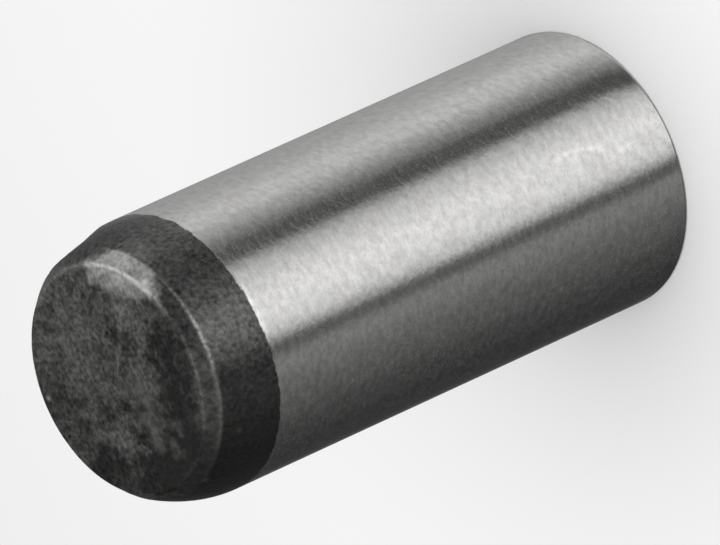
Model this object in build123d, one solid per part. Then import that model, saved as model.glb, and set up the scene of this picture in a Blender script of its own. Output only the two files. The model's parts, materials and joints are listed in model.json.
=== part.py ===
from build123d import *
import os
from math import asin, cos, degrees, radians, sin, sqrt, tan

# A hardened dowel pin, 8 x 18 mm, standing on its plain end with the rounded lead-in end up.
# Millimetres and degrees. The origin is the middle of the plain end, and +Z runs along the pin.

# The bar that is turned, hardened and then ground to size
PIN_DIAMETER = 8.0
PIN_LENGTH = 18.0

# Plain end: flat, with a small radius round its edge
TAIL_EDGE_RADIUS = 0.1

# Lead-in end: a large round that leaves the shank without a step, then a short bevel that turns in
# a little further, up to the flat end face. Both edges of the bevel are broken by a small radius.
NOSE_RADIUS = 4.3
NOSE_LENGTH = 1.8
BEVEL_LENGTH = 0.38
BEVEL_TURN = 12.5
RIM_EDGE_RADIUS = 0.2
FACE_EDGE_RADIUS = 0.1

# Bruise: a very shallow scoop rubbed off the end face's edge
BRUISE_RADIUS = 40.0
BRUISE_REACH = 0.8
BRUISE_SETBACK = 1.3
BRUISE_BEARING = -33.0

# Dent: a trough knocked into the nose part of the way up it, as by a blow against a round bar
DENT_RADIUS = 8.0
DENT_DEPTH = 0.1
DENT_SLOPE = 13.0
DENT_BEARING = 11.0

# Heights, radii and slopes that follow from the sizes above
pin_radius = PIN_DIAMETER / 2
rim_height = PIN_LENGTH - BEVEL_LENGTH
shank_height = rim_height - NOSE_LENGTH
nose_slope = degrees(asin(NOSE_LENGTH / NOSE_RADIUS))
rim_radius = pin_radius - NOSE_RADIUS * (1 - cos(radians(nose_slope)))
face_radius = rim_radius - BEVEL_LENGTH * tan(radians(nose_slope + BEVEL_TURN))


def turned_pin():
    """Half of the pin's section, with its edges rounded, turned about the axis."""
    tail_corner = (pin_radius, 0)
    rim_corner = (rim_radius, rim_height)
    face_corner = (face_radius, PIN_LENGTH)
    shank_line = Polyline((0, 0), tail_corner, (pin_radius, shank_height))
    nose_arc = CenterArc((pin_radius - NOSE_RADIUS, shank_height), NOSE_RADIUS, 0, nose_slope)
    end_line = Polyline(rim_corner, face_corner, (0, PIN_LENGTH), (0, 0))
    section = make_face([shank_line, nose_arc, end_line])
    for corner, radius in (
        (tail_corner, TAIL_EDGE_RADIUS),
        (rim_corner, RIM_EDGE_RADIUS),
        (face_corner, FACE_EDGE_RADIUS),
    ):
        nearest = section.vertices().sort_by_distance(corner)[0]
        section = fillet(nearest, radius)
    return revolve(Plane.XZ * section, Axis.Z)


def bruise_scoop():
    """The ball that rubs off the bruise: its circle on the end face reaches in past the face's edge."""
    centre_radius = face_radius + BRUISE_SETBACK
    circle_radius = BRUISE_SETBACK + BRUISE_REACH
    rise = sqrt(BRUISE_RADIUS**2 - circle_radius**2)
    bearing = radians(BRUISE_BEARING)
    centre = (centre_radius * cos(bearing), centre_radius * sin(bearing), PIN_LENGTH + rise)
    return Pos(*centre) * Sphere(BRUISE_RADIUS)


def dent_bar():
    """The bar that knocks the dent: it lies across the nose and goes the dent's depth into the round."""
    reach = NOSE_RADIUS + DENT_RADIUS - DENT_DEPTH
    slope = radians(DENT_SLOPE)
    bearing = radians(DENT_BEARING)
    centre_radius = pin_radius - NOSE_RADIUS + reach * cos(slope)
    centre_height = shank_height + reach * sin(slope)
    centre = (centre_radius * cos(bearing), centre_radius * sin(bearing), centre_height)
    across = (-sin(bearing), cos(bearing), 0)
    return Plane(centre, z_dir=across) * Cylinder(DENT_RADIUS, PIN_DIAMETER)


dowel_pin = turned_pin() - bruise_scoop() - dent_bar()

os.makedirs("parts", exist_ok=True)
export_step(dowel_pin, "parts/dowel_pin.step")
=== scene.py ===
# %% [markdown]
# # A hardened dowel pin, dressed in Blender
# The part is one piece of steel: a ground cylinder with one rounded end that is still black from the
# hardening furnace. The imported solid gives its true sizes. This lesson builds a finer skin over that solid,
# gives the skin its two finishes, and sets up a small studio to photograph it in.

import json
import math

import bpy
import numpy as np
from mathutils import Matrix, Vector, noise


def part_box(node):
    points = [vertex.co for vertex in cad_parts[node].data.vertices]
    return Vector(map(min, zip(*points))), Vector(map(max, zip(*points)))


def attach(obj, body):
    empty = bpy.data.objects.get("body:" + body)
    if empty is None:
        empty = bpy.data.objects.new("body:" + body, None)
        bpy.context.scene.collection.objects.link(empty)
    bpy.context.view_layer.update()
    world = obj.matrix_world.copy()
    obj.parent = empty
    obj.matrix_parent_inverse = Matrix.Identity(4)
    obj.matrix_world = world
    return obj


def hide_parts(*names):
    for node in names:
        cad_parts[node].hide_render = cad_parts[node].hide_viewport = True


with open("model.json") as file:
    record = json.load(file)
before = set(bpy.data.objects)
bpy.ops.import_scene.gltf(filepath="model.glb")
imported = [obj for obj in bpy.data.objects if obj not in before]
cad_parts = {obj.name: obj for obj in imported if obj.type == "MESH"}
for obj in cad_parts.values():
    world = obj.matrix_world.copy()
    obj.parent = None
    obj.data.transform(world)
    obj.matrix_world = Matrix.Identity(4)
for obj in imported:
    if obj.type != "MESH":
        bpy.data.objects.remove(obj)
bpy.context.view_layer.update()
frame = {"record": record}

# %% [markdown]
# ## Sizes
# The pin stands on its plain end, with its axis on Z. Its length and diameter are read from the solid, and
# the ends of the ground cylinder from the mount that says where a hole may grip it. Only the sizes of the
# rounded end are written here, because the frame doesn't hold them.

# %% Sizes of the pin
mm = 0.001
low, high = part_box("dowel_pin")
pin_length = high.z - low.z
shank_mount = next(m for m in frame["record"]["mounts"] if m["name"] == "shank")
pin_radius = shank_mount["dims"]["r_mm"] * mm
shank_half = shank_mount["dims"]["length_mm"] * mm / 2
shank_foot = shank_mount["pos_m"][2] - shank_half
shank_top = shank_mount["pos_m"][2] + shank_half
print(f"pin {pin_length / mm:.2f} mm long, shank from {shank_foot / mm:.2f} to {shank_top / mm:.2f} mm")

# %% Sizes of the rounded end
nose_radius = 4.3 * mm
nose_length = 1.8 * mm
bevel_turn = math.radians(12.5)
rim_rounding = 0.2 * mm
face_rounding = 0.1 * mm

nose_slope = math.asin(nose_length / nose_radius)
rim_height = shank_top + nose_length
rim_radius = pin_radius - nose_radius * (1 - math.cos(nose_slope))
face_radius = rim_radius - (pin_length - rim_height) * math.tan(nose_slope + bevel_turn)
print(f"rim radius {rim_radius / mm:.3f} mm, face radius {face_radius / mm:.3f} mm")

# %% [markdown]
# ## The section
# A turned piece is one outline swept round its axis. The solid's own mesh would do for the ground cylinder,
# but the black end needs many small faces, to carry its pits, its worn rim and its bruise as real shape. So
# the outline is drawn again, as runs and arcs in the plane of radius and height, with its points close
# together where that detail goes.

# %% Runs and arcs
quarter_turn = math.pi / 2


def straight_run(start, end, spacing):
    """Points from start up to end, with end left out, no further apart than spacing."""
    steps = max(1, math.ceil(math.dist(start, end) / spacing))
    return [np.add(start, np.subtract(end, start) * i / steps) for i in range(steps)]


def arc_run(centre, radius, first, last, steps):
    """Points along an arc, with both of its ends."""
    angles = np.linspace(first, last, steps + 1)
    return [np.add(centre, (radius * math.cos(a), radius * math.sin(a))) for a in angles]


def rounded_corner(corner, heading_in, heading_out, radius, steps):
    """The arc that rounds a corner where the outline turns left from one heading to another."""
    reach = radius * math.tan((heading_out - heading_in) / 2)
    along = np.array([math.cos(heading_in), math.sin(heading_in)])
    leftwards = np.array([-along[1], along[0]])
    centre = np.subtract(corner, along * reach) + leftwards * radius
    return arc_run(centre, radius, heading_in - quarter_turn, heading_out - quarter_turn, steps)


nose_heading = quarter_turn + nose_slope
bevel_heading = nose_heading + bevel_turn
print(f"headings: nose {math.degrees(nose_heading):.1f}, bevel {math.degrees(bevel_heading):.1f} degrees")

# %% Outline of half the section
coarse = 1.0 * mm
fine = 0.04 * mm
edge_steps = 6
rim_steps = 3

tail_arc = rounded_corner((pin_radius, 0.0), 0.0, quarter_turn, shank_foot, edge_steps)
nose_centre = (pin_radius - nose_radius, shank_top)
nose_arc = arc_run(nose_centre, nose_radius, 0.0, nose_slope, math.ceil(nose_length / fine))
rim_arc = rounded_corner((rim_radius, rim_height), nose_heading, bevel_heading, rim_rounding, rim_steps)
face_arc = rounded_corner((face_radius, pin_length), bevel_heading, math.pi, face_rounding, edge_steps)

outline = tail_arc + straight_run(tail_arc[-1], nose_arc[0], coarse)[1:] + nose_arc[:-1] + rim_arc
outline += straight_run(rim_arc[-1], face_arc[0], fine)[1:] + face_arc
outline = np.array(outline)
print("points in the outline:", len(outline))

# %% [markdown]
# ## Sweeping the outline
# Blender's Screw modifier could sweep it, but the wear has to know where on the pin each point lies, so the
# rings are made as arrays. The flat end gets rings of its own: each smaller ring has fewer points, so that
# the faces stay the same size right to the middle, where a plain fan would crowd into slivers.

# %% Rings of points
steps_round = 512
fewest_round = 6


def ring(radius, height, count):
    """Points of one level ring."""
    turns = np.arange(count) * 2 * math.pi / count
    return np.stack([radius * np.cos(turns), radius * np.sin(turns), np.full(count, height)], axis=1)


swept_rings = [ring(radius, height, steps_round) for radius, height in outline]
end_radii = np.arange(outline[-1, 0] - fine, fine / 2, -fine)
end_counts = [max(fewest_round, round(2 * math.pi * radius / fine)) for radius in end_radii]
end_rings = [ring(radius, pin_length, count) for radius, count in zip(end_radii, end_counts)]
all_rings = swept_rings + end_rings + [np.array([[0.0, 0.0, pin_length]])]
turned_points = np.concatenate(all_rings)
print("rings:", len(all_rings), "points:", len(turned_points))

# %% Faces between the rings


def stitch(outer, inner):
    """Triangles between two rings of point numbers, which may differ in count."""
    faces = []
    i = j = 0
    while i < len(outer) or j < len(inner):
        here, inside = outer[i % len(outer)], inner[j % len(inner)]
        if j == len(inner) or (i < len(outer) and (i + 1) * len(inner) <= (j + 1) * len(outer)):
            i += 1
            faces.append((here, outer[i % len(outer)], inside))
        else:
            j += 1
            faces.append((here, inner[j % len(inner)], inside))
    return faces


starts = np.cumsum([0] + [len(r) for r in all_rings])
numbers = [list(range(starts[k], starts[k + 1])) for k in range(len(all_rings))]
skin_faces = [tuple(reversed(numbers[0]))]
for below, above in zip(numbers, numbers[1 : len(swept_rings)]):
    for i in range(steps_round):
        k = (i + 1) % steps_round
        skin_faces.append((below[i], below[k], above[k], above[i]))
for outer, inner in zip(numbers[len(swept_rings) - 1 :], numbers[len(swept_rings) : -1]):
    skin_faces += stitch(outer, inner)
last_ring, middle = numbers[-2], numbers[-1][0]
skin_faces += [(last_ring[i - 1], last_ring[i], middle) for i in range(len(last_ring))]
print("faces:", len(skin_faces))

# %% [markdown]
# ## Sculpting the black end
# The scale that the furnace left is not smooth, and the end has been knocked. Four things shape it here. The
# nose was turned a hair off true, so its rim sits a little to one side. A round bar has knocked a trough into
# the nose. A very shallow bruise has rubbed the edge of the face. Fine pits cover the scale. The trough and
# the bruise are in the solid too, and are cut here by the same bar and ball, with their edges softened.
# Sculpting by hand would do it as well, but a formula for each mark can be read, changed and run again.
# Nothing is pushed outside the solid's own box.

# %% Where each point lies
scale_start = 0.4 * mm


def fade(value, start, end):
    """0 up to start and 1 from end on, with a smooth rise between them."""
    t = np.clip((value - start) / (end - start), 0, 1)
    return t * t * (3 - 2 * t)


turned_radius = np.hypot(turned_points[:, 0], turned_points[:, 1])
turned_height = turned_points[:, 2]
bearing = np.degrees(np.arctan2(turned_points[:, 1], turned_points[:, 0]))
on_scale = fade(turned_height, shank_top, shank_top + scale_start)
black_points = np.flatnonzero(on_scale > 0)
print("points on the black end:", len(black_points))

# %% Cloudy noise on the black end
octave_fall = 1.0
octave_step = 2.0
thread_sharpness = 2.6


def cloudy(size, octaves, shift):
    """Noise of about -1 to 1 on the black end, with clouds of this size, and 0 on the rest of the pin."""
    values = np.zeros(len(turned_points))
    places = [Vector(point) / size for point in turned_points[black_points] + shift]
    values[black_points] = [noise.fractal(place, octave_fall, octave_step, octaves) for place in places]
    return values


speckle = cloudy(size=0.11 * mm, octaves=3, shift=20 * mm)
clumps = cloudy(size=0.3 * mm, octaves=4, shift=40 * mm)
broad = cloudy(size=0.9 * mm, octaves=3, shift=60 * mm)
threads = np.clip(1 - thread_sharpness * np.abs(cloudy(size=0.3 * mm, octaves=3, shift=80 * mm)), 0, 1)
print(f"clumps run from {clumps.min():.2f} to {clumps.max():.2f}")

# %% Nose a hair off true
off_true = np.array([0.04 * mm, -0.03 * mm, 0.0])
points = turned_points + off_true * fade(turned_height, shank_top, rim_height)[:, None]
print(f"the rim is {np.linalg.norm(off_true) / mm:.2f} mm off true")

# %% Dent in the nose
dent_radius = 8.0 * mm
dent_depth = 0.1 * mm
dent_slope = math.radians(13.0)
dent_bearing = math.radians(11.0)
dent_softness = 0.006 * mm


def soft_push(depth, softness):
    """How far to push a point that lies this deep in a hollow, with the hollow's edge rounded off."""
    return softness * np.logaddexp(0, depth / softness)


dent_reach = nose_radius + dent_radius - dent_depth
dent_offset = pin_radius - nose_radius + dent_reach * math.cos(dent_slope)
dent_centre = np.array([
    dent_offset * math.cos(dent_bearing),
    dent_offset * math.sin(dent_bearing),
    shank_top + dent_reach * math.sin(dent_slope),
])
bar_line = np.array([-math.sin(dent_bearing), math.cos(dent_bearing), 0.0])
from_bar = points - dent_centre
from_bar -= np.outer(from_bar @ bar_line, bar_line)
bar_distance = np.linalg.norm(from_bar, axis=1)
in_dent = dent_radius - bar_distance
points += from_bar / bar_distance[:, None] * soft_push(in_dent, dent_softness)[:, None]
print(f"dent: {np.sum(in_dent > 0)} points, up to {in_dent.max() / mm:.3f} mm deep")

# %% Bruise on the edge of the face
bruise_bearing = math.radians(-33.0)
bruise_radius = 40.0 * mm
bruise_reach = 0.8 * mm
bruise_setback = 1.3 * mm
bruise_unevenness = 0.008 * mm
bruise_softness = 0.003 * mm

bruise_circle = bruise_setback + bruise_reach
bruise_offset = face_radius + bruise_setback
bruise_height = pin_length + math.sqrt(bruise_radius**2 - bruise_circle**2)
bruise_x = bruise_offset * math.cos(bruise_bearing)
bruise_y = bruise_offset * math.sin(bruise_bearing)
bruise_spread = np.hypot(points[:, 0] - bruise_x, points[:, 1] - bruise_y)
bruise_floor = bruise_height - np.sqrt(bruise_radius**2 - bruise_spread**2)
in_bruise = points[:, 2] - bruise_floor + bruise_unevenness * clumps
points[:, 2] -= soft_push(in_bruise, bruise_softness)
print(f"bruise: {np.sum(in_bruise > 0)} points, up to {in_bruise.max() / mm:.3f} mm deep")

# %% Pits in the scale
clump_pits = 0.010 * mm
speckle_pits = 0.005 * mm

outward = turned_points * (1.0, 1.0, 0.0)
outward /= np.maximum(np.linalg.norm(outward, axis=1), fine)[:, None]
pits = clump_pits * np.clip(clumps, 0, None) + speckle_pits * np.clip(speckle, 0, None)
faces_up = fade(turned_height, pin_length - face_rounding / 4, pin_length)
inward = -outward * (1 - faces_up)[:, None] - np.array([0.0, 0.0, 1.0]) * faces_up[:, None]
points += inward * (pits * on_scale)[:, None]
points[:, 2] = np.minimum(points[:, 2], pin_length)
print(f"pits up to {pits.max() / mm:.4f} mm deep")

# %% [markdown]
# ## The skin
# The points and faces become one mesh, because the real pin is one piece. It could be laid over the packed
# solid, but two surfaces in one place would flicker through each other. So it stands in for the solid, which
# is hidden, and it rides on the same body.

# %% Skin object
skin = bpy.data.meshes.new("pin_skin")
skin.from_pydata(points.tolist(), [], skin_faces)
skin.shade_smooth()
pin = bpy.data.objects.new("pin_skin", skin)
bpy.context.scene.collection.objects.link(pin)
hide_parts("dowel_pin")
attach(pin, "root")
print("triangles in the skin:", sum(len(face) - 2 for face in skin_faces))

# %% [markdown]
# ## Where the black has worn, and painted highlights
# On the real end the scale is rubbed through to lighter steel along the rim, fainter along the edge of the
# face, and most of all on the bruise and the bevel beside it, with a bright ridge between the two. At the
# front the lines on the rim and the face's edge are painted highlights as well as wear, and a streak on the
# nose is a painted reflection. Painting this on a texture would need a brush, so each worn place is written
# as a mark at a known bearing. The marks are worked out for each point of the mesh, where the material can
# read them later.
# Noise breaks them up.

# %% Worn lines on the rim and the face's edge, with painted highlights on them at the front
edge_inset = 0.055 * mm
edge_width = 0.07 * mm
rim_line_width = 0.045 * mm


def near(distance, width):
    """1 on a line or a spot, falling away over this width."""
    return np.exp(-((distance / width) ** 2))


def round_the_pin(*marks):
    """Marks round the pin, added up: each has a bearing and a reach, in degrees, and a strength."""
    return sum(strength * near(bearing - middle, reach) for middle, reach, strength in marks)


rim_distance = np.hypot(turned_radius - rim_radius, turned_height - rim_height)
edge_distance = np.hypot(turned_radius - face_radius + edge_inset, turned_height - pin_length)
waver = 0.02 * mm * clumps
broken = np.clip(0.75 + 0.9 * speckle, 0, 1.2)

# Both lines are strongest near the front of the pin, where the strip light is mirrored: there they are
# painted highlights as well as wear.
rim_strength = round_the_pin((-87, 16, 0.75), (-122, 24, 0.1125), (-62, 12, 0.1875))
rim_width = rim_line_width + round_the_pin((-122, 30, 0.03 * mm)) + waver
rim_wear_and_highlight = rim_strength * near(rim_distance + waver, rim_width) * broken
edge_strength = round_the_pin((-100, 9, 0.2), (-118, 9, 0.12), (4, 24, 0.3), (-66, 7, 0.28))
edge_wear_and_highlight = edge_strength * near(edge_distance + waver, edge_width) * broken
print(f"strongest wear: {rim_wear_and_highlight.max():.2f} on the rim, {edge_wear_and_highlight.max():.2f} on the face's edge")

# %% Worn bruise, and the ridge on its edge
thin_wear = 0.3 * fade(in_bruise, -0.006 * mm, 0.004 * mm)
deep_wear = 0.26 * fade(in_bruise, 0.0, 0.035 * mm)
bruise_wear = (thin_wear + deep_wear) * (1 + 0.5 * speckle)


def between(value, start, end, softness):
    """1 between start and end and 0 outside them, with a soft change at both."""
    rise = fade(value, start - softness, start + softness)
    return rise * (1 - fade(value, end - softness, end + softness))


ridge_span = between(bearing, start=-60.5, end=-12.5, softness=4.5)
ridge_width = 0.12 * mm + 0.05 * mm * clumps
ridge_wear = ridge_span * near(edge_distance + waver, ridge_width) * np.clip(0.88 + 0.35 * speckle, 0, 1)
print(f"points worn on the bruise: {np.sum(bruise_wear > 0.2)}, on its ridge: {np.sum(ridge_wear > 0.2)}")

# %% Worn bevel beside the bruise
bevel_strength = 0.66 - round_the_pin((-45, 6, 0.12))

on_bevel = fade(turned_radius, face_radius - 0.06 * mm, face_radius)
on_bevel *= fade(turned_height, rim_height - 0.08 * mm, rim_height)
past_rim = fade(turned_height + 0.05 * mm * clumps, rim_height - 0.14 * mm, rim_height + 0.05 * mm)
past_rim *= fade(turned_radius, face_radius, rim_radius)
down_bevel = (pin_length - turned_height) / (pin_length - rim_height)
patch_start = -65 + 12 * down_bevel + 5 * clumps
patch_end = -15 - 11 * down_bevel + 5 * clumps
patch_span = between(bearing, patch_start, patch_end, softness=6)
bevel_wear = bevel_strength * np.maximum(on_bevel, past_rim) * patch_span
bevel_wear *= np.clip(0.9 + 0.5 * speckle + 0.2 * clumps, 0, 1.2)
print("points worn on the bevel:", np.sum(bevel_wear > 0.2))

# %% Painted reflection on the nose, chips, and all the wear and painted highlights together
reflection_start = 16.7 * mm
reflection_end = 17.4 * mm
chip_marks = (
    # bearing in degrees, then radius, height and size in mm, then strength
    (-133.0, 3.8, 17.1, 0.07, 0.16),
    (-162.0, 3.64, 17.55, 0.09, 0.14),
    (84.5, 3.1, 18.0, 0.07, 0.5),
    (-56.5, 3.29, 18.0, 0.12, 0.8),
    (-52.5, 3.4, 17.9, 0.18, 1.0),
)

# A painted reflection: a lighter streak on the nose at one bearing, carrying on the shank's bright band.
nose_painted_reflection = round_the_pin((-41, 7, 0.12)) * fade(turned_height, reflection_start, reflection_end) * (1 + speckle)
chips = np.zeros(len(points))
for chip_bearing, chip_radius, chip_height, chip_size, strength in chip_marks:
    across = np.radians(bearing - chip_bearing) * chip_radius * mm
    inwards = turned_radius - chip_radius * mm
    upwards = turned_height - chip_height * mm
    chips += strength * near(np.sqrt(across**2 + inwards**2 + upwards**2), chip_size * mm)
worn_and_highlit = np.maximum.reduce([rim_wear_and_highlight, edge_wear_and_highlight, bruise_wear, ridge_wear, bevel_wear, nose_painted_reflection, chips])
worn_and_highlit = np.clip(worn_and_highlit, 0, 1)
print("points worn half bare or more:", np.sum(worn_and_highlit > 0.5))

# %% [markdown]
# ## Dust on the scale
# The flat face is cloudy, because a thin grey dust of oxide lies on the black in some places and has been
# wiped off in others. Plain noise would give clouds too, but not these ones. So the main clouds are dabs at
# known places, as with a brush: light dabs add dust, and dark ones take it away. Noise wavers their outlines
# and breaks them into threads. The bevel has a little dust as well.

# %% Dust on the face
dust_dabs = (
    # x, y and reach in mm, then strength
    (0.9, 0.9, 1.4, 0.2), (-0.45, -0.85, 0.45, 0.5), (-1.5, 0.7, 0.35, 0.6), (-1.2, 1.7, 0.35, 0.2),
    (0.85, 1.3, 0.2, 0.7), (1.1, -1.55, 0.42, 0.4), (-1.6, -0.5, 0.3, 0.5), (1.6, 0.2, 0.7, 0.25),
    (-0.5, -0.5, 0.2, 0.5), (2.0, 1.8, 1.0, 0.12), (-2.05, 0.35, 0.26, 0.6), (0.4, -1.65, 0.3, 0.4),
    (0.1, 2.0, 0.3, 0.25),
)
wiped_dabs = (
    # the same, for places that have been wiped
    (1.05, -0.88, 0.34, -1.0), (0.9, -0.55, 0.18, -0.5), (-1.65, 0.05, 0.28, -0.5), (-0.85, 0.1, 0.3, -0.4),
    (0.1, -2.5, 1.0, -0.4), (-1.2, -1.8, 0.6, -0.4), (-3.0, 0.0, 1.0, -0.7), (-2.2, 2.1, 0.9, -0.5),
    (-0.2, 2.6, 0.9, -0.25), (-2.3, 1.1, 0.4, -0.2), (2.5, -0.2, 0.4, -0.15), (-2.6, -1.7, 0.7, -0.5),
    (-1.7, -2.4, 0.5, -0.35), (-0.75, 1.0, 0.38, -0.4), (-0.95, 2.25, 0.38, -0.28), (1.5, 1.9, 0.38, -0.32),
    (0.0, -1.45, 0.35, -0.25), (-0.35, -1.9, 0.25, -0.3), (-1.0, -0.4, 0.25, -0.25),
)

dab_waver = 0.25
face_x = turned_points[:, 0] / mm + dab_waver * clumps
face_y = turned_points[:, 1] / mm + dab_waver * speckle
dust_on_face = 0.45 + 0.3 * broad + 0.24 * clumps
for dab_x, dab_y, reach, strength in dust_dabs + wiped_dabs:
    dust_on_face += strength * near(np.hypot(face_x - dab_x, face_y - dab_y), reach)
dust_on_face *= 0.55 + 0.9 * threads
on_face = fade(turned_height, pin_length - face_rounding, pin_length)
print(f"mean dust on the face: {dust_on_face[on_face > 0.5].mean():.2f}")

# %% Dust on the bevel, and a clean stretch of the face's edge
bevel_dust = 0.12 + round_the_pin((-121, 22, 0.3), (-100, 20, 0.22), (-158, 22, -0.05))
dust_on_bevel = on_bevel * bevel_dust * (1 + 0.8 * clumps)
clean_edge = round_the_pin((-145, 18, 0.8)) * near(edge_distance, 0.15 * mm)
dust = np.clip(on_face * dust_on_face + dust_on_bevel, 0, 1) * (1 - clean_edge)
print(f"most dust on the bevel: {dust_on_bevel.max():.2f}")

# %% Marks kept on the mesh
# The marks below hold the black's edge, a dense stretch of film, the painted highlight of the bare line, the
# wear together with the painted highlights and reflection, and the dust.
for name, values in (
    ("black_edge", shank_top + mm * (round_the_pin((-72, 37, 0.13), (-150, 35, -0.04)) - 0.05)),
    ("dense", round_the_pin((-152, 42, 1.0))),
    ("bare_edge_and_highlight", round_the_pin((-89, 17, 1.0))),
    ("worn_and_highlit", worn_and_highlit),
    ("dust", dust),
):
    layer = skin.attributes.new(name, "FLOAT", "POINT")
    layer.data.foreach_set("value", values.astype(np.float32))
    print(f"{name}: {values.min():.4f} to {values.max():.4f}")

# %% [markdown]
# ## One steel, two finishes
# The pin is one steel with a bright ground cylinder and a black end. Two materials would leave a saw-toothed
# join along the faces, so one shader holds both and a number from 0 to 1 says which is seen. The black stops
# at a height that is stored on the mesh, because the grinding wheel reached further up on one side. Noise
# makes the line ragged, as the scale breaks off there in small grains.

# %% A material to fill


def add_node(tree, kind, inputs=None, **settings):
    """A node with its settings made and its inputs set to values or joined to other nodes' outputs."""
    node = tree.nodes.new(kind)
    for name, value in settings.items():
        setattr(node, name, value)
    for socket, value in (inputs or {}).items():
        if isinstance(value, bpy.types.NodeSocket):
            tree.links.new(value, node.inputs[socket])
        else:
            node.inputs[socket].default_value = value
    return node


finish = bpy.data.materials.new("hardened_steel_skin")
finish.use_nodes = True
steel = finish.node_tree
shader = steel.nodes["Principled BSDF"]
place = add_node(steel, "ShaderNodeTexCoord").outputs["Object"]
print("material:", finish.name)

# %% Noise that frays the edge
ragged_counts = (2800, 2800, 2800)


def vector_maths(tree, operation, first, second, output="Vector"):
    """One sum on two vectors or outputs."""
    return add_node(tree, "ShaderNodeVectorMath", {0: first, 1: second}, operation=operation).outputs[output]


def clouds(tree, place, counts, detail, roughness=0.5):
    """Noise from 0 to 1, with so many clouds to the metre along each axis."""
    scaled = vector_maths(tree, "MULTIPLY", place, counts)
    settings = {"Vector": scaled, "Scale": 1.0, "Detail": detail, "Roughness": roughness}
    return add_node(tree, "ShaderNodeTexNoise", settings).outputs[0]


ragged = clouds(steel, place, ragged_counts, 4, 0.58)
print(f"clouds of about {1 / ragged_counts[0] / mm:.2f} mm")

# %% Where the black stops
raggedness = 0.24 * mm
edge_softness = 0.015 * mm


def maths(tree, operation, *values):
    """One sum on numbers or outputs."""
    return add_node(tree, "ShaderNodeMath", dict(enumerate(values)), operation=operation).outputs[0]


def stretch(tree, value, from_low, from_high, to_low, to_high, **settings):
    """A number moved from one range to another and held inside it."""
    ranges = {1: from_low, 2: from_high, 3: to_low, 4: to_high}
    return add_node(tree, "ShaderNodeMapRange", {0: value, **ranges}, **settings).outputs[0]


def stored(name):
    """A number that was kept on the mesh."""
    return add_node(steel, "ShaderNodeAttribute", attribute_name=name).outputs["Fac"]


own_height = add_node(steel, "ShaderNodeSeparateXYZ", {0: place}).outputs["Z"]
ragged_shift = stretch(steel, ragged, 0, 1, -raggedness / 2, raggedness / 2)
height_over_edge = maths(steel, "SUBTRACT", own_height, stored("black_edge"))
height_over_edge = maths(steel, "ADD", height_over_edge, ragged_shift)
black = stretch(steel, height_over_edge, -edge_softness, edge_softness, 0, 1)
print(f"the black's edge wanders by up to {raggedness / mm:.2f} mm")

# %% [markdown]
# ## Ground steel
# The cylinder was ground to size while it turned, so its marks are short strokes round the pin, with finer
# flecks in them. Bare steel mirrors the room, and the strokes blur that mirror a little. Brushed metal is
# often made with anisotropic shading, but that draws long even lines, and these marks are short and broken.
# So noise that is pressed flat along the axis gives both the colour and a bump. Where the black stops, grains
# of scale have come off, and where that line mirrors the strip light its steel is painted brightest, a
# painted highlight.

# %% Strokes and flecks of the grinding wheel
stroke_counts = (3600, 3600, 5400)
fleck_counts = (14000, 14000, 16000)
speck_counts = (21000, 21000, 21000)
fleck_share = 0.35
dark_steel = (0.42, 0.417, 0.41, 1)
light_steel = (0.74, 0.735, 0.723, 1)
stroke_height = 4.2e-6


def mix_numbers(tree, share, first, second):
    """Two numbers mixed by a share: a Mix node keeps its numbers on sockets 2 and 3."""
    return add_node(tree, "ShaderNodeMix", {0: share, 2: first, 3: second}, data_type="FLOAT").outputs[0]


def mix_colours(tree, share, first, second):
    """Two colours mixed by a share: a Mix node keeps its colours on sockets 6 and 7."""
    return add_node(tree, "ShaderNodeMix", {0: share, 6: first, 7: second}, data_type="RGBA").outputs[2]


strokes = clouds(steel, place, stroke_counts, 3, 0.55)
flecks = clouds(steel, place, fleck_counts, 2)
specks = clouds(steel, place, speck_counts, 1)
steel_mottle = mix_numbers(steel, fleck_share, strokes, flecks)
steel_share = stretch(steel, steel_mottle, 0.25, 0.75, 0, 1)
steel_colour = mix_colours(steel, steel_share, dark_steel, light_steel)
steel_roughness = stretch(steel, flecks, 0.2, 0.8, 0.10, 0.14)
steel_height = maths(steel, "MULTIPLY", strokes, stroke_height)
dull_specks = stretch(steel, specks, 0.55, 0.75, 0, 0.16)
steel_metal = maths(steel, "SUBTRACT", 1.0, dull_specks)
print(f"strokes {1 / stroke_counts[0] / mm:.2f} mm long and {1 / stroke_counts[2] / mm:.2f} mm wide")

# %% Bright grains along the black's edge, painted brightest as a highlight at the front
grain_line = 0.13 * mm
highlit_bare_steel = (0.82, 0.815, 0.80, 1)

below_edge = maths(steel, "ABSOLUTE", maths(steel, "ADD", height_over_edge, grain_line / 2))
# Painted highlight: the bare grains are painted brighter only at the bearing that mirrors the strip light.
bare_highlight_line = maths(steel, "MULTIPLY", stored("bare_edge_and_highlight"), stretch(steel, below_edge, 0, grain_line, 1, 0))
bare_grains_and_highlight = maths(steel, "MULTIPLY", bare_highlight_line, stretch(steel, strokes, 0.35, 0.6, 0.15, 1))
steel_colour = mix_colours(steel, bare_grains_and_highlight, steel_colour, highlit_bare_steel)
print(f"the line of bright grains is {grain_line / mm:.2f} mm wide")

# %% [markdown]
# ## Scuffs
# Two faint arcs near the plain end were rubbed by whatever lay against the pin. They are too shallow to be
# shape, and a decal would need an image. Each is the distance from a circle seen from the front, kept to a
# short stretch of it and broken up by the steel's own mottle.

# %% Scuffs on the ground steel
scuff_width = 0.12 * mm
front_on = (1, 0, 1)
scuffed_steel = (0.74, 0.735, 0.725, 1)


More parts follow.
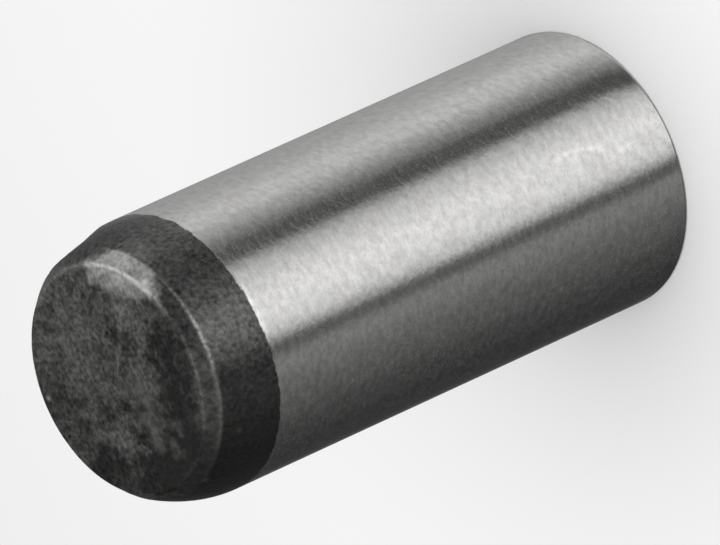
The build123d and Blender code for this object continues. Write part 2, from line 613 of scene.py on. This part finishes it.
def scuff(middle, arc_centre, length):
    """A faint light arc rubbed on the front of the shank: 1 on its line, and 0 away from it."""
    arc_radius = math.hypot(middle.x - arc_centre.x, middle.z - arc_centre.z)
    flat_place = vector_maths(steel, "MULTIPLY", place, front_on)
    from_centre = vector_maths(steel, "DISTANCE", flat_place, arc_centre, "Value")
    from_middle = vector_maths(steel, "DISTANCE", place, middle, "Value")
    off_line = maths(steel, "ABSOLUTE", maths(steel, "SUBTRACT", from_centre, arc_radius))
    across = stretch(steel, off_line, 0, scuff_width, 1, 0)
    along = stretch(steel, from_middle, length / 4, length / 2, 1, 0)
    return maths(steel, "MULTIPLY", across, along)


long_scuff = scuff(Vector((0.56, -3.96, 3.33)) * mm, Vector((-1.54, 0.0, 3.55)) * mm, 2.4 * mm)
short_scuff = scuff(Vector((0.05, -4.0, 1.67)) * mm, Vector((0.79, 0.0, 1.79)) * mm, 0.8 * mm)
both_scuffs = maths(steel, "MAXIMUM", long_scuff, short_scuff)
scuff_share = maths(steel, "MULTIPLY", both_scuffs, stretch(steel, steel_mottle, 0.35, 0.6, 0.3, 1))
steel_colour = mix_colours(steel, scuff_share, steel_colour, scuffed_steel)
print("nodes for the ground steel:", len(steel.nodes))

# %% [markdown]
# ## Black scale
# The black is iron oxide, a glassy film rather than a paint. It mirrors faintly, so it is made here as a very
# dark metal. Grain and larger patches vary its colour, and on one side it is dense and even. Dust lies on it
# as a dull grey. Where it is worn, the steel under it shows, scratched and dull, and the same steel colour is
# painted where the rim, the face's edge and the nose take painted highlights and a painted reflection.

# %% Black scale, its dust, the steel worn bare, and the painted highlights
grain_counts = (7500, 7500, 7500)
patch_counts = (2600, 2600, 2600)
patch_share = 0.25
dense_evenness = 0.6
dense_level = 0.46
dark_film, light_film = (0.023, 0.026, 0.027, 1), (0.207, 0.203, 0.197, 1)
dark_dust, light_dust = (0.010, 0.012, 0.012, 1), (0.130, 0.128, 0.122, 1)
worn_and_highlit_steel = (0.56, 0.555, 0.54, 1)
grain_height = 5.0e-6

worn_and_highlit_share = stored("worn_and_highlit")
dust_share = stored("dust")
film_grain = clouds(steel, place, grain_counts, 4, 0.6)
film_patches = clouds(steel, place, patch_counts, 3)
film_mottle = mix_numbers(steel, patch_share, film_grain, film_patches)
film_share = stretch(steel, film_mottle, 0.31, 0.71, 0, 1)
even_share = maths(steel, "MULTIPLY", stored("dense"), dense_evenness)
film_share = mix_numbers(steel, even_share, film_share, dense_level)
film_colour = mix_colours(steel, film_share, dark_film, light_film)
dust_colour = mix_colours(steel, film_share, dark_dust, light_dust)
scale_colour = mix_colours(steel, dust_share, film_colour, dust_colour)
# The worn steel colour also paints the highlights on the rim and the face's edge, and the reflection on the
# nose.
black_end_colour = mix_colours(steel, worn_and_highlit_share, scale_colour, worn_and_highlit_steel)
scale_roughness = stretch(steel, film_grain, 0.2, 0.8, 0.22, 0.32)
scale_height = maths(steel, "MULTIPLY", film_grain, grain_height)
print(f"grain of the scale: {1 / grain_counts[0] / mm:.2f} mm")

# %% [markdown]
# ## Both on one shader
# Each finish now has a colour, a share of metal, a roughness and a height. They could be two shaders joined
# by a Mix Shader, but mixing the four values and giving them to one shader is simpler to bake and to read.

# %% Both finishes on one shader
worn_and_highlit_dullness = 0.85
oxide_index = 1.6

dull = mix_numbers(steel, worn_and_highlit_share, dust_share, worn_and_highlit_dullness)
scale_metal = maths(steel, "SUBTRACT", 1.0, dull)
height = mix_numbers(steel, black, steel_height, scale_height)
surface = add_node(steel, "ShaderNodeBump", {"Height": height, "Distance": 1.0, "Strength": 1.0})
for socket, value in (
    ("Base Color", mix_colours(steel, black, steel_colour, black_end_colour)),
    ("Metallic", mix_numbers(steel, black, steel_metal, scale_metal)),
    ("Roughness", mix_numbers(steel, black, steel_roughness, scale_roughness)),
    ("Normal", surface.outputs[0]),
):
    steel.links.new(value, shader.inputs[socket])
shader.inputs["IOR"].default_value = oxide_index
skin.materials.append(finish)
print("nodes in the finish:", len(steel.nodes))

# %% [markdown]
# ## Camera
# The picture shows the pin from 39 degrees above its end, rolled so that it seems to lie on its side. A very
# long lens keeps its sides parallel. The camera is set from four things read off the picture: where the
# middle of the plain end falls, how far away it is, which way the axis points and how much it leans.

# %% Where the camera stands
picture_width = 720
picture_height = 545
sensor_width = 36.0
lens = 1000.0
tail_pixel = (583.40, 168.83)
tail_depth = 0.55095
axis_turn = math.radians(155.563)
axis_lean = math.radians(50.861)

pixels_per_unit = picture_width * lens / sensor_width
toward_camera = Vector((0.0, -math.sin(axis_lean), math.cos(axis_lean)))
up_the_pin = Vector((0.0, math.cos(axis_lean), math.sin(axis_lean)))
across_pin = Vector((1.0, 0.0, 0.0))
picture_right = up_the_pin * math.cos(axis_turn) - across_pin * math.sin(axis_turn)
picture_up = -up_the_pin * math.sin(axis_turn) - across_pin * math.cos(axis_turn)
tail_right = (tail_pixel[0] - picture_width / 2) * tail_depth / pixels_per_unit
tail_up = (picture_height / 2 - tail_pixel[1]) * tail_depth / pixels_per_unit
camera_place = toward_camera * tail_depth - picture_right * tail_right - picture_up * tail_up
print("camera at", tuple(round(c, 4) for c in camera_place))

# %% Camera
nearest_seen = 0.01
furthest_seen = 10.0

camera_data = bpy.data.cameras.new("camera")
camera_data.lens = lens
camera_data.sensor_width = sensor_width
camera_data.clip_start = nearest_seen
camera_data.clip_end = furthest_seen
camera = bpy.data.objects.new("camera", camera_data)
camera_turn = Matrix((picture_right, picture_up, toward_camera)).transposed().to_4x4()
camera.matrix_world = Matrix.Translation(camera_place) @ camera_turn
bpy.context.scene.collection.objects.link(camera)
bpy.context.scene.camera = camera
bpy.context.scene.view_settings.view_transform = "Standard"
print("lens:", camera_data.lens, "mm")

# %% [markdown]
# ## Floor
# A plain, pale, matt sheet. Seen from above, the whole flank of an upright pin would mirror this sheet and
# turn white, while the real pin mirrors a dim room with a strip light. So mirror reflections look past the
# sheet into the room. It still catches the pin's shadow and lights it softly from below.

# %% Floor
floor_half = 2.0
floor_colour = (0.95, 0.95, 0.95, 1.0)

corners = [(x * floor_half, y * floor_half, 0) for x, y in ((-1, -1), (1, -1), (1, 1), (-1, 1))]
floor_mesh = bpy.data.meshes.new("floor")
floor_mesh.from_pydata(corners, [], [(0, 1, 2, 3)])
floor = bpy.data.objects.new("floor", floor_mesh)
bpy.context.scene.collection.objects.link(floor)
floor.visible_glossy = False
pale = bpy.data.materials.new("pale_floor")
pale.use_nodes = True
matt = pale.node_tree.nodes["Principled BSDF"]
matt.inputs["Base Color"].default_value = floor_colour
matt.inputs["Roughness"].default_value = 1.0
matt.inputs["Specular IOR Level"].default_value = 0.0
floor_mesh.materials.append(pale)
print("floor:", 2 * floor_half, "m wide")

# %% [markdown]
# ## Room
# Polished steel has hardly any colour of its own: what it shows is the room. The bands along the pin are a
# strip light in front, a softer panel to one side and dark gaps between them. Lamps with real shapes could
# make them, but walls painted by bearing give straight, even bands, and one ramp holds them. The rounded end
# looks higher up than the cylinder does, where the strip light is narrower, so there is a lower and an upper
# wall. Above both is a dim ceiling, which the flat face mirrors.

# %% Brightness of the walls by bearing
lower_wall = (
    # bearing in degrees from the front, then brightness
    (-180, 0.21), (-166, 0.08), (-152, 0.046), (-125, 0.047), (-97, 0.08), (-66, 0.172), (-42, 0.29),
    (-36, 0.28), (-32, 0.15), (-26, 0.13), (-20, 0.57), (-15, 0.89), (-8, 1.04), (0, 1.13), (12, 1.21),
    (24, 1.06), (36, 0.82), (43, 0.58), (48, 0.25), (51, 0.095), (62, 0.095), (76, 0.41), (92, 0.78),
    (103, 0.78), (125, 0.56), (146, 0.45), (166, 0.36), (180, 0.21),
)
upper_wall = (
    (-180, 0.15), (-166, 0.085), (-150, 0.06), (-120, 0.075), (-97, 0.095), (-66, 0.16), (-42, 0.28),
    (-32, 0.15), (-26, 0.16), (-20, 0.5), (-10, 1.04), (0, 1.25), (12, 1.22), (20, 0.92), (30, 0.56),
    (40, 0.39), (60, 0.4), (80, 0.57), (100, 0.72), (112, 0.44), (130, 0.3), (150, 0.26), (166, 0.22),
    (180, 0.15),
)
print("brightest wall:", max(brightness for _, brightness in lower_wall + upper_wall))

# %% Painted walls and ceiling
upper_wall_foot = (-0.63, -0.57)
ceiling_foot = (0.2, 0.5)
ceiling_colour = (0.165, 0.165, 0.165, 1.0)

room = bpy.data.worlds.new("room")
bpy.context.scene.world = room
room.use_nodes = True
room.cycles.sampling_method = "NONE"
walls = room.node_tree
direction = add_node(walls, "ShaderNodeTexCoord").outputs["Generated"]
split = add_node(walls, "ShaderNodeSeparateXYZ", {0: direction})
frontward = maths(walls, "MULTIPLY", split.outputs["Y"], -1.0)
wall_bearing = maths(walls, "ARCTAN2", split.outputs["X"], frontward)
along_ramp = stretch(walls, wall_bearing, -math.pi, math.pi, 0, 1)


def painted(wall):
    """A wall that goes all the way round, its brightness set at so many bearings."""
    ramp = add_node(walls, "ShaderNodeValToRGB", {0: along_ramp})
    stops = ramp.color_ramp.elements
    stops.remove(stops[-1])
    for number, (wall_degrees, brightness) in enumerate(wall):
        share = (wall_degrees + 180) / 360
        stop = stops.new(share) if number else stops[0]
        stop.position = share
        stop.color = (brightness, brightness, brightness, 1.0)
    return ramp.outputs[0]


def looking_above(foot):
    """How far a line of sight has passed the foot of a wall: 0 below the foot's two heights and 1 above."""
    return stretch(walls, split.outputs["Z"], *foot, 0, 1, interpolation_type="SMOOTHSTEP")


both_walls = mix_colours(walls, looking_above(upper_wall_foot), painted(lower_wall), painted(upper_wall))
lit_room = mix_colours(walls, looking_above(ceiling_foot), both_walls, ceiling_colour)
walls.links.new(lit_room, walls.nodes["Background"].inputs["Color"])
print("nodes in the room:", len(walls.nodes))

# %% [markdown]
# ## Lamp
# A round lamp overhead lights the floor and the dust, which are matt and mirror nothing. The room alone could
# light them, but then the floor would be as dim as the walls. Mirror reflections look past the lamp, as they
# look past the floor, or it would show on the black end as a bright disc.

# %% Lamp overhead
lamp_size = 0.2
lamp_power = 0.3
lamp_forward = 0.03
lamp_height = 0.16

lamp_data = bpy.data.lights.new("overhead", "AREA")
lamp_data.shape = "DISK"
lamp_data.size = lamp_size
lamp_data.energy = lamp_power
lamp = bpy.data.objects.new("overhead", lamp_data)
lamp.location = (0.0, -lamp_forward, lamp_height)
lamp.rotation_euler = (-math.atan2(lamp_forward, lamp_height), 0, 0)
lamp.visible_glossy = False
bpy.context.scene.collection.objects.link(lamp)
print("lamp:", lamp_power, "W")
